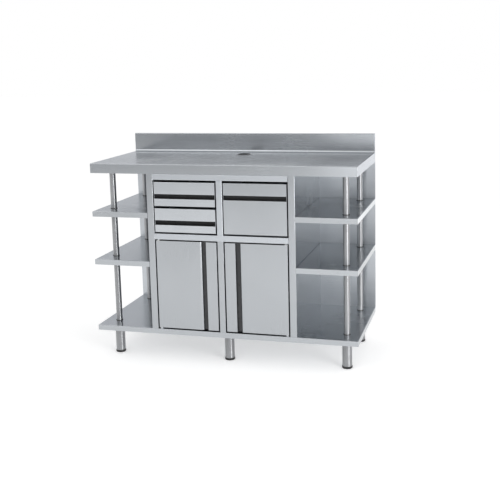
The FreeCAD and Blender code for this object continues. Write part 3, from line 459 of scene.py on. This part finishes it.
def threaded_foot(name, colour, plate_colour, height, pitch):
    """Black plastic up to a height and plated screw thread above it."""
    nodes = Nodes(name)
    level = nodes.part("Z")
    metal = nodes.above(level, height)
    flow = nodes.noise(nodes.place((60.0, 60.0, 90.0)), detail=3.0)
    nodes.join(nodes.ramp(metal, (0.0, colour), (1.0, plate_colour)),
               nodes.shader.inputs["Base Color"])
    nodes.join(metal, nodes.shader.inputs["Metallic"])
    nodes.join(nodes.spread(flow, 0.38, 0.52, NOISE_RANGE), nodes.shader.inputs["Roughness"])
    turns = nodes.spread(level, 0.0, 2.0 * math.pi / pitch)
    wave = nodes.tree.nodes.new("ShaderNodeMath")
    wave.operation = "SINE"
    nodes.join(turns, wave.inputs[0])
    nodes.bump(nodes.mix_numbers(wave.outputs["Value"], metal, "MULTIPLY"),
               distance=pitch * THREAD_DEPTH_SHARE)
    return nodes.material


def grommet_with_painted_bore(name, colour, painted_bore_shade, centre, bore):
    """Grey moulded ring whose bore is painted black as the shade inside the hole."""
    nodes = Nodes(name)
    nodes.set(Specular_IOR_Level=0.15)
    outside = nodes.above(nodes.reach(centre), bore)
    skin = nodes.noise(nodes.place((MOULD_GRAIN, MOULD_GRAIN, MOULD_GRAIN)), detail=2.0)
    nodes.join(nodes.ramp(outside, (0.0, painted_bore_shade), (1.0, colour)),
               nodes.shader.inputs["Base Color"])
    nodes.join(nodes.spread(skin, 0.34, 0.46, NOISE_RANGE), nodes.shader.inputs["Roughness"])
    nodes.bump(skin, distance=0.00006, strength=0.6)
    return nodes.material


def seen_rays(tree):
    """One for the rays of the camera, of gloss and through glass, zero for the others."""
    path = tree.nodes.new("ShaderNodeLightPath")
    seen = path.outputs["Is Camera Ray"]
    for ray in ("Is Glossy Ray", "Is Transmission Ray"):
        either = tree.nodes.new("ShaderNodeMath")
        either.operation = "MAXIMUM"
        tree.links.new(seen, either.inputs[0])
        tree.links.new(path.outputs[ray], either.inputs[1])
        seen = either.outputs["Value"]
    return seen


def studio_surface(name, colour, lift):
    """Pale floor that the camera and mirrors see as white apart from shadow."""
    nodes = Nodes(name)
    nodes.set(Base_Color=(*colour, 1.0), Roughness=0.9, Specular_IOR_Level=0.0)
    nodes.set(Emission_Color=(1.0, 1.0, 1.0, 1.0))
    strength = nodes.spread(seen_rays(nodes.tree), 0.0, lift)
    nodes.join(strength, nodes.shader.inputs["Emission Strength"])
    return nodes.material


def middle(low, high):
    """Middle of a box, seen from above."""
    return (low[0] + high[0]) / 2, (low[1] + high[1]) / 2


def dress(name, material):
    """Give a carried-over node its finish."""
    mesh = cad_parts[name].data
    mesh.materials.clear()
    mesh.materials.append(material)


# ----------------------------------------------------------------------------
# Mesh work
# ----------------------------------------------------------------------------

def finish_piece(name, mesh_work, material, body):
    """Turn bmesh work into a piece that rides on a body."""
    bmesh.ops.remove_doubles(mesh_work, verts=mesh_work.verts, dist=WELD_DISTANCE)
    bmesh.ops.recalc_face_normals(mesh_work, faces=mesh_work.faces)
    mesh = bpy.data.meshes.new(name)
    mesh_work.to_mesh(mesh)
    mesh_work.free()
    mesh.materials.append(material)
    piece = bpy.data.objects.new(name, mesh)
    bpy.context.scene.collection.objects.link(piece)
    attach(piece, body)


def add_prism(mesh_work, sides, radius, low, height, place, bevel):
    """Add an upright prism with bevelled ends."""
    base = bmesh.ops.create_circle(mesh_work, cap_ends=True, segments=sides, radius=radius,
                                   matrix=Matrix.Translation((place[0], place[1], low)))
    faces = list({face for vertex in base["verts"] for face in vertex.link_faces})
    raised = bmesh.ops.extrude_face_region(mesh_work, geom=faces)
    top = [item for item in raised["geom"] if isinstance(item, bmesh.types.BMVert)]
    bmesh.ops.translate(mesh_work, verts=top, vec=(0.0, 0.0, height))
    rims = {edge for vertex in base["verts"] + top for edge in vertex.link_edges
            if abs(edge.verts[0].co.z - edge.verts[1].co.z) < LEVEL_TOLERANCE}
    bmesh.ops.bevel(mesh_work, geom=list(rims), offset=bevel, offset_type="OFFSET",
                    segments=2, profile=0.5, affect="EDGES", material=-1)


def add_ring(mesh_work, centre, inner, outer, low, height):
    """Spin a flat ring with eased outer edges round an upright axis."""
    ease = height * RING_EASE_SHARE
    section = [(inner, low), (outer - ease, low), (outer, low + ease),
               (outer, low + height - ease), (outer - ease, low + height), (inner, low + height)]
    corners = [mesh_work.verts.new((centre[0] + x, centre[1], z)) for x, z in section]
    edges = [mesh_work.edges.new((corners[i - 1], corners[i])) for i in range(len(corners))]
    bmesh.ops.spin(mesh_work, geom=corners + edges, cent=(centre[0], centre[1], 0.0),
                   axis=(0.0, 0.0, 1.0), angle=2.0 * math.pi, steps=RING_STEPS,
                   use_merge=True)


def add_button(mesh_work, place, toward, radius, height):
    """Add a domed head whose lower half is in the sheet."""
    turn = Vector(toward).to_track_quat("Z", "Y").to_matrix().to_4x4()
    shape = Matrix.Diagonal((radius, radius, height, 1.0))
    bmesh.ops.create_uvsphere(mesh_work, u_segments=16, v_segments=8, radius=1.0,
                              matrix=Matrix.Translation(place) @ turn @ shape)


def add_strip(mesh_work, outline, axis, start, end):
    """Extrude a closed outline in the two other axes from start to end along an axis."""
    others = [index for index in range(3) if index != axis]
    corners = []
    for point in outline:
        place = [0.0, 0.0, 0.0]
        place[axis] = start
        place[others[0]], place[others[1]] = point
        corners.append(mesh_work.verts.new(place))
    face = mesh_work.faces.new(corners)
    raised = bmesh.ops.extrude_face_region(mesh_work, geom=[face])
    moved = [item for item in raised["geom"] if isinstance(item, bmesh.types.BMVert)]
    travel = [0.0, 0.0, 0.0]
    travel[axis] = end - start
    bmesh.ops.translate(mesh_work, verts=moved, vec=travel)


# ----------------------------------------------------------------------------
# Operators
# ----------------------------------------------------------------------------

class STATION_OT_sheet_metal(bpy.types.Operator):
    """Give the folded sheets their brushed finish"""

    bl_idname = "station.sheet_metal"
    bl_label = "Brushed Sheets"

    def execute(self, context):
        finish = context.scene.station_finish
        sheet, panel = finish.sheet_colour, finish.panel_colour
        bright, mill = finish.sheet_roughness, finish.panel_roughness
        # Lit and shaded copies of the one sheet colour: painted light on the small fronts, painted
        # shade on the upright sheets.
        upright = tinted(sheet, finish.upright_painted_shade)
        fronts = tinted(sheet, finish.front_painted_light)
        finishes = (
            ("brushed_sheet_x", "X", tinted(sheet, 1.0), bright,
             ["worktop", "base_shelf", "left_upper_shelf", "left_lower_shelf",
              "right_upper_shelf", "right_lower_shelf", "hopper_drawer_front"]),
            # Painted light: the two small drawer fronts get the lighter copy.
            ("brushed_front_x", "X", fronts, bright,
             ["upper_drawer_front", "lower_drawer_front"]),
            ("brushed_sheet_y", "Y", tinted(sheet, 1.0), bright,
             [f"{name}_drawer_box" for name in DRAWERS] + ["hopper_bin"]),
            # Painted shade: the upright sheets get the darker copy.
            ("brushed_sheet_z", "Z", upright, bright,
             ["left_side_panel", "right_side_panel", "centre_stile", "left_door", "right_door",
              "left_door_liner", "right_door_liner"]),
            ("mill_sheet_x", "X", panel, mill,
             ["back_panel", "top_rail", "drawer_deck", "inner_shelf"]),
            ("mill_sheet_z", "Z", panel, mill,
             ["left_lining_panel", "right_lining_panel", "drawer_divider"]),
        )
        for title, grain, colour, roughness, names in finishes:
            material = brushed_steel(title, colour, roughness, grain, finish)
            for name in names:
                dress(name, material)
        return {"FINISHED"}


class STATION_OT_tubes(bpy.types.Operator):
    """Polish the posts, the legs and the knock bar"""

    bl_idname = "station.tubes"
    bl_label = "Posts and Legs"

    def execute(self, context):
        material = polished_tube("polished_tube", context.scene.station_finish.tube_colour)
        for row in ("front", "rear"):
            dress(f"{row}_legs", material)
            for side in ("left", "right"):
                dress(f"{row}_{side}_posts", material)
        dress("knock_bar", material)
        return {"FINISHED"}


class STATION_OT_plated_parts(bpy.types.Operator):
    """Plate the runners, channels, rods, rails and pins"""

    bl_idname = "station.plated_parts"
    bl_label = "Plated Parts"

    def execute(self, context):
        material = zinc_plate("zinc_plate", context.scene.station_finish.zinc_colour)
        names = ["worktop_channels", "base_channels", "tie_rods", "shelf_rails", "door_pivot_pins"]
        for drawer in DRAWERS:
            names += [f"{drawer}_{member}_runners" for member in ("cabinet", "middle", "drawer")]
        for name in names:
            dress(name, material)
        return {"FINISHED"}


class STATION_OT_mouldings(bpy.types.Operator):
    """Colour the feet, the grommet, the bushes, the catches and the knock bar's sleeve"""

    bl_idname = "station.mouldings"
    bl_label = "Plastic and Rubber"

    def execute(self, context):
        finish = context.scene.station_finish
        hardware = context.scene.station_hardware
        moulded_plastic("black_plastic", finish.plastic_colour, roughness=0.48)
        foot_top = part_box("front_legs")[0][2] - TOUCH_GAP
        foot_finish = threaded_foot("foot_plastic", finish.plastic_colour, finish.zinc_colour,
                                    foot_top, hardware.thread_pitch)
        for foot in FEET:
            dress(f"{foot}_foot", foot_finish)
        # Painted shade: the bore inside the grey face is painted black for the dark of the hole.
        low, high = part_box("cable_grommet")
        bore = (high[0] - low[0]) / 2 - hardware.grommet_face
        dress("cable_grommet", grommet_with_painted_bore("grommet_plastic", finish.grommet_colour,
                                             finish.painted_shade_colour, middle(low, high), bore))
        dress("knock_bar_sleeve",
              moulded_plastic("sleeve_rubber", SLEEVE_COLOUR, roughness=0.75, grain=400.0))
        dress("door_magnets", moulded_plastic("catch_plastic", CATCH_COLOUR, roughness=0.5))
        white = moulded_plastic("bush_plastic", BUSH_COLOUR, roughness=0.4)
        for side in ("left", "right"):
            dress(f"{side}_door_bushes", white)
        return {"FINISHED"}


class STATION_OT_leg_screws(bpy.types.Operator):
    """Screw the leg plates to the base channels"""

    bl_idname = "station.leg_screws"
    bl_label = "Leg Screws"

    def execute(self, context):
        hardware = context.scene.station_hardware
        work = bmesh.new()
        reach = hardware.screw_spread / 2
        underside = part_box("front_legs")[1][2] - LEG_PLATE_THICKNESS
        for foot in FEET:
            low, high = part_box(f"{foot}_foot")
            centre = middle(low, high)
            for i in (-1, 1):
                for j in (-1, 1):
                    spot = (centre[0] + i * reach, centre[1] + j * reach)
                    add_prism(work, sides=6, radius=hardware.screw_across / math.sqrt(3),
                              low=underside - hardware.screw_head, height=hardware.screw_head,
                              place=spot, bevel=SCREW_BEVEL)
        finish_piece("leg_screws", work, bpy.data.materials["zinc_plate"], "carcass")
        return {"FINISHED"}


class STATION_OT_painted_slot_shades(bpy.types.Operator):
    """Line the drawers' finger slots with near-black sheets, painted shade for the deep recess"""

    bl_idname = "station.slot_liners"
    bl_label = "Slot Liners"

    def execute(self, context):
        hardware = context.scene.station_hardware
        colour = context.scene.station_finish.painted_shade_colour
        # Painted shade: a near-black sheet in each slot stands for the shadow in the recess.
        black = moulded_plastic("liner_plastic", colour, roughness=0.55)
        wall, gap = hardware.shade_sheet_thickness, FIT_GAP
        for drawer in DRAWERS:
            low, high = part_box(f"{drawer}_drawer_front")
            slot_top = high[2] - hardware.slot_drop
            floor = slot_top - hardware.slot_height + gap
            ceiling = slot_top + hardware.slot_undercut - gap
            rear = low[1] + hardware.slot_depth - gap
            lip = low[1] + hardware.lip_depth + gap
            mouth = low[1] + SLOT_MOUTH
            outline = [(mouth, floor), (rear, floor), (rear, ceiling), (lip, ceiling),
                       (lip, slot_top + gap), (lip + wall, slot_top + gap),
                       (lip + wall, ceiling - wall), (rear - wall, ceiling - wall),
                       (rear - wall, floor + wall), (mouth + wall, floor + wall)]
            work = bmesh.new()
            add_strip(work, outline, axis=0, start=low[0] + SLOT_END_GAP,
                      end=high[0] - SLOT_END_GAP)
            finish_piece(f"{drawer}_slot_liner", work, black, f"{drawer}_drawer")
        return {"FINISHED"}


class STATION_OT_painted_groove_shades(bpy.types.Operator):
    """Lay dark sheets in the doors' grooves as painted shade"""

    bl_idname = "station.groove_liners"
    bl_label = "Groove Liners"

    def execute(self, context):
        hardware = context.scene.station_hardware
        colour = context.scene.station_finish.painted_groove_shade_colour
        # Painted shade: a dark sheet in each groove stands for its shadow.
        dark = moulded_plastic("groove_plastic", colour, roughness=0.35)
        wall, gap = hardware.shade_sheet_thickness, FIT_GAP
        for door, side in (("left", -1), ("right", 1)):
            low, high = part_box(f"{door}_door")
            edge = high[0] if side < 0 else low[0]
            start = edge + side * hardware.groove_inset
            hidden = start - side * (hardware.slot_undercut - gap)
            end = start + side * (hardware.groove_width - gap)
            rear = low[1] + hardware.groove_depth - gap
            lip = low[1] + hardware.lip_depth + gap
            brow = start - side * gap
            outline = [(brow, lip), (hidden, lip), (hidden, rear), (end, rear),
                       (end, rear - wall), (hidden + side * wall, rear - wall),
                       (hidden + side * wall, lip + wall), (brow, lip + wall)]
            work = bmesh.new()
            add_strip(work, outline, axis=2, start=low[2] + GROOVE_END_GAP,
                      end=high[2] - GROOVE_END_GAP)
            finish_piece(f"{door}_groove_liner", work, dark, f"{door}_door_leaf")
        return {"FINISHED"}


class STATION_OT_post_collars(bpy.types.Operator):
    """Seat every post length on a dark ring"""

    bl_idname = "station.post_collars"
    bl_label = "Post Collars"

    def execute(self, context):
        hardware = context.scene.station_hardware
        work = bmesh.new()
        for side in ("left", "right"):
            levels = [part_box(name)[1][2] for name in
                      ("base_shelf", f"{side}_lower_shelf", f"{side}_upper_shelf")]
            for row in ("front", "rear"):
                low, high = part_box(f"{row}_{side}_posts")
                inner = (high[0] - low[0]) / 2 + FIT_GAP
                for level in levels:
                    add_ring(work, middle(low, high), inner, inner + hardware.collar_width,
                             level + TOUCH_GAP, hardware.collar_height)
        finish_piece("post_collars", work, bpy.data.materials["black_plastic"], "carcass")
        return {"FINISHED"}


class STATION_OT_rivets(bpy.types.Operator):
    """Rivet the back panel to the cabinet, the base and the worktop"""

    bl_idname = "station.rivets"
    bl_label = "Back Rivets"

    def execute(self, context):
        hardware = context.scene.station_hardware
        low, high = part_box("back_panel")
        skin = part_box("back_panel")[1][1] - SHEET_THICKNESS
        inset = hardware.rivet_inset
        outwards = (0.0, 1.0, 0.0)
        rows = [low[2] + inset, high[2] - inset]
        columns = [low[0] + inset * END_COLUMN_FACTOR, high[0] - inset * END_COLUMN_FACTOR]
        for side in ("left", "right"):
            near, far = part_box(f"{side}_side_panel")
            columns.append(near[0] + STILE_RIVET_INSET if side == "left"
                           else far[0] - STILE_RIVET_INSET)
        work = bmesh.new()
        across = max(2, round((columns[1] - columns[0]) / hardware.rivet_pitch))
        for row in rows:
            for i in range(across + 1):
                x = columns[0] + (columns[1] - columns[0]) * i / across
                add_button(work, (x, skin, row), outwards, hardware.rivet_radius,
                           hardware.rivet_height)
        down = max(2, round((rows[1] - rows[0]) / hardware.rivet_pitch))
        for x in columns:
            for i in range(1, down):
                z = rows[0] + (rows[1] - rows[0]) * i / down
                add_button(work, (x, skin, z), outwards, hardware.rivet_radius,
                           hardware.rivet_height)
        finish_piece("back_rivets", work, bpy.data.materials["zinc_plate"], "carcass")
        return {"FINISHED"}


class STATION_OT_drawer_screws(bpy.types.Operator):
    """Screw the drawer boxes to their fronts"""

    bl_idname = "station.drawer_screws"
    bl_label = "Drawer Screws"

    def execute(self, context):
        hardware = context.scene.station_hardware
        inset = hardware.box_screw_inset
        for drawer in DRAWERS:
            low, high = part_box(f"{drawer}_drawer_box")
            work = bmesh.new()
            for x in (low[0] + inset, high[0] - inset):
                for level in BOX_SCREW_LEVELS:
                    add_button(work, (x, low[1] + SHEET_THICKNESS, low[2] + level), (0.0, 1.0, 0.0),
                               hardware.box_screw_radius, hardware.box_screw_height)
            finish_piece(f"{drawer}_box_screws", work, bpy.data.materials["zinc_plate"],
                         f"{drawer}_drawer")
        return {"FINISHED"}


class STATION_OT_strike_plates(bpy.types.Operator):
    """Fix a thin steel plate behind each door for its magnet"""

    bl_idname = "station.strike_plates"
    bl_label = "Strike Plates"

    def execute(self, context):
        low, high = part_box("door_magnets")
        for door in ("left", "right"):
            door_low, door_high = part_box(f"{door}_door")
            left = low[0] if door == "left" else max(door_low[0] + STRIKE_INSET, 0.0)
            right = min(door_high[0] - STRIKE_INSET, 0.0) if door == "left" else high[0]
            near, far = door_high[1] + TOUCH_GAP, low[1] - TOUCH_GAP
            outline = [(left, near), (right, near), (right, far), (left, far)]
            work = bmesh.new()
            add_strip(work, outline, axis=2, start=low[2] + STRIKE_INSET,
                      end=high[2] - STRIKE_INSET)
            finish_piece(f"{door}_strike_plate", work, bpy.data.materials["zinc_plate"],
                         f"{door}_door_leaf")
        return {"FINISHED"}


class STATION_OT_stage(bpy.types.Operator):
    """Lay the floor, hang the lights and set the camera"""

    bl_idname = "station.stage"
    bl_label = "Studio"

    def execute(self, context):
        settings = context.scene.station_stage
        self.lay_floor(settings)
        self.light_world(context.scene, settings)
        for name, place, target, size in LAMPS:
            self.hang_light(f"{name}_light", place, target, size,
                            getattr(settings, f"{name}_power"))
        self.hang_flag("front_flag", FRONT_FLAG, settings.flag_colour)
        self.hang_flag("rear_flag", REAR_FLAG, settings.rear_flag_colour)
        self.place_camera(context.scene)
        context.scene.view_settings.view_transform = "Standard"
        return {"FINISHED"}

    @staticmethod
    def lay_floor(settings):
        work = bmesh.new()
        bmesh.ops.create_grid(work, x_segments=1, y_segments=1, size=settings.floor_size / 2)
        mesh = bpy.data.meshes.new("floor")
        work.to_mesh(mesh)
        work.free()
        mesh.materials.append(
            studio_surface("studio_floor", settings.floor_colour, settings.floor_lift))
        floor = bpy.data.objects.new("floor", mesh)
        bpy.context.scene.collection.objects.link(floor)

    @staticmethod
    def light_world(scene, settings):
        """White to the camera, to gloss and through glass; plain soft light to the rest."""
        world = bpy.data.worlds.new("studio")
        world.use_nodes = True
        scene.world = world
        tree = world.node_tree
        background = tree.nodes["Background"]
        background.inputs["Color"].default_value = (1.0, 1.0, 1.0, 1.0)
        level = tree.nodes.new("ShaderNodeMapRange")
        level.inputs["To Min"].default_value = settings.ambient
        level.inputs["To Max"].default_value = 1.0
        tree.links.new(seen_rays(tree), level.inputs["Value"])
        tree.links.new(level.outputs["Result"], background.inputs["Strength"])

    @staticmethod
    def hang_light(name, place, target, size, power):
        """Soft oval lamp that is turned to its target."""
        lamp = bpy.data.lights.new(name, "AREA")
        lamp.shape = "ELLIPSE"
        lamp.size, lamp.size_y = size
        lamp.energy = power
        light = bpy.data.objects.new(name, lamp)
        bpy.context.scene.collection.objects.link(light)
        light.location = place
        light.visible_camera = False
        light.rotation_euler = (Vector(target) - Vector(place)).to_track_quat("-Z", "Y").to_euler()

    @staticmethod
    def hang_flag(name, shape, colour):
        """Upright card, seen only in reflections."""
        left, right = FLAG_SPAN
        depth, height = shape
        work = bmesh.new()
        corners = [work.verts.new(place) for place in
                   ((left, depth, 0.0), (right, depth, 0.0),
                    (right, depth, height), (left, depth, height))]
        work.faces.new(corners)
        mesh = bpy.data.meshes.new(name)
        work.to_mesh(mesh)
        work.free()
        nodes = Nodes(f"{name}_card")
        nodes.set(Base_Color=(*colour, 1.0), Roughness=1.0, Specular_IOR_Level=0.0)
        mesh.materials.append(nodes.material)
        flag = bpy.data.objects.new(name, mesh)
        bpy.context.scene.collection.objects.link(flag)
        for ray in ("camera", "diffuse", "shadow"):
            setattr(flag, f"visible_{ray}", False)

    @staticmethod
    def place_camera(scene):
        """Stand to the right of the middle, at eye height, and look a little down."""
        yaw, pitch, roll = CAMERA_YAW, CAMERA_PITCH, CAMERA_ROLL
        ahead = Vector((-math.sin(yaw) * math.cos(pitch), math.cos(yaw) * math.cos(pitch),
                        -math.sin(pitch)))
        level = Vector((math.cos(yaw), math.sin(yaw), 0.0))
        upright = level.cross(ahead)
        right = math.cos(roll) * level + math.sin(roll) * upright
        up = -math.sin(roll) * level + math.cos(roll) * upright
        turn = Matrix((right, up, -ahead)).transposed()
        lens = bpy.data.cameras.new("camera")
        lens.sensor_width = SENSOR_WIDTH
        lens.lens = LENS_PIXELS / FRAME_PIXELS * SENSOR_WIDTH
        lens.shift_x = 0.5 - LENS_CENTRE[0] / FRAME_PIXELS
        lens.shift_y = LENS_CENTRE[1] / FRAME_PIXELS - 0.5
        lens.clip_end = VIEW_RANGE
        camera = bpy.data.objects.new("camera", lens)
        scene.collection.objects.link(camera)
        camera.matrix_world = Matrix.Translation(CAMERA_PLACE) @ turn.to_4x4()
        scene.camera = camera


class STATION_PT_sidebar(bpy.types.Panel):
    """Sizes, colours and the steps that make the station"""

    bl_idname = "STATION_PT_sidebar"
    bl_label = "Service Station"
    bl_space_type = "VIEW_3D"
    bl_region_type = "UI"
    bl_category = "Service Station"

    def draw(self, context):
        layout = self.layout
        scene = context.scene
        for group in (scene.station_finish, scene.station_hardware, scene.station_stage):
            for name in group.__annotations__:
                layout.prop(group, name)
        for step in STEPS:
            layout.operator(step.bl_idname)


STEPS = (
    STATION_OT_sheet_metal,
    STATION_OT_tubes,
    STATION_OT_plated_parts,
    STATION_OT_mouldings,
    STATION_OT_leg_screws,
    STATION_OT_painted_slot_shades,
    STATION_OT_painted_groove_shades,
    STATION_OT_post_collars,
    STATION_OT_rivets,
    STATION_OT_drawer_screws,
    STATION_OT_strike_plates,
    STATION_OT_stage,
)
GROUPS = {
    "station_finish": StationFinish,
    "station_hardware": StationHardware,
    "station_stage": StationStage,
}


def register():
    for group in GROUPS.values():
        bpy.utils.register_class(group)
    for step in STEPS:
        bpy.utils.register_class(step)
    bpy.utils.register_class(STATION_PT_sidebar)
    for name, group in GROUPS.items():
        setattr(bpy.types.Scene, name, PointerProperty(type=group))


def unregister():
    for name in GROUPS:
        delattr(bpy.types.Scene, name)
    bpy.utils.unregister_class(STATION_PT_sidebar)
    for step in reversed(STEPS):
        bpy.utils.unregister_class(step)
    for group in GROUPS.values():
        bpy.utils.unregister_class(group)


def main():
    register()
    for step in STEPS:
        category, name = step.bl_idname.split(".")
        getattr(getattr(bpy.ops, category), name)()


if __name__ == "__main__":
    main()
